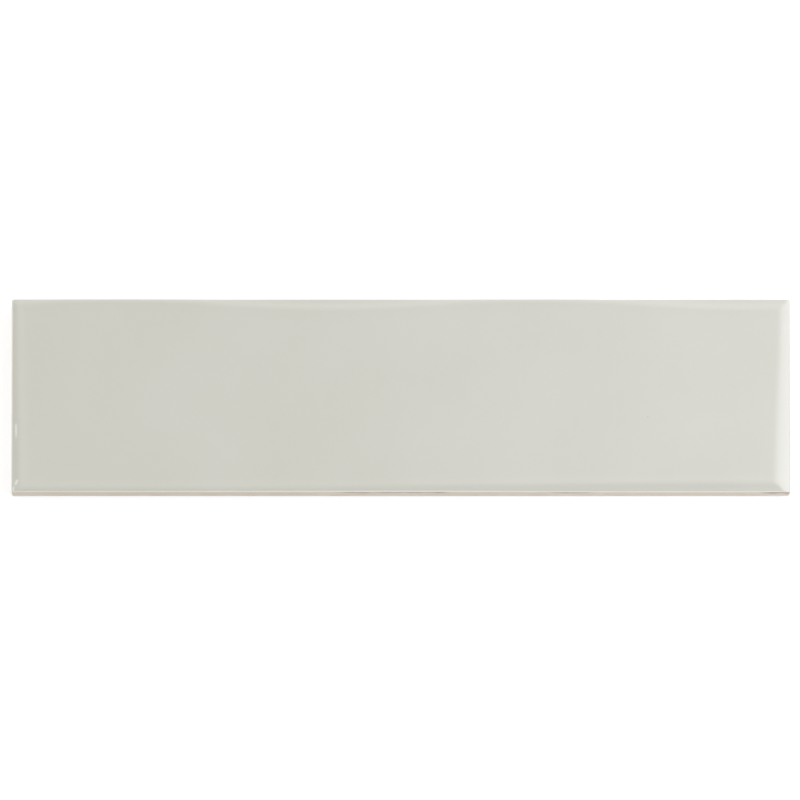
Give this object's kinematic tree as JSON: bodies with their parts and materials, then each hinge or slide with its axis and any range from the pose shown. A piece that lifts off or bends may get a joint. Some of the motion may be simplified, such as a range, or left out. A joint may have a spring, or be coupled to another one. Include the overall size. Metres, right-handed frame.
{
  "type": "subway wall tile",
  "caption": "Long glazed ceramic wall tile with a gently waved face, softly rolled edges, square bare sides and a waffle of shallow keys on its back, bedded in adhesive.",
  "frame": {"origin": "centre of the tile's back, on the plane that it lies on", "axes": "+X along the length, +Y across the width, +Z out of the glazed face"},
  "size_m": [0.3, 0.076, 0.0095],
  "materials": {
    "glazed_ceramic": "glossy pale grey glaze over a warm bisque body"
  },
  "bodies": {
    "root": {"subway_tile": "glazed_ceramic"}
  },
  "joints": []
}
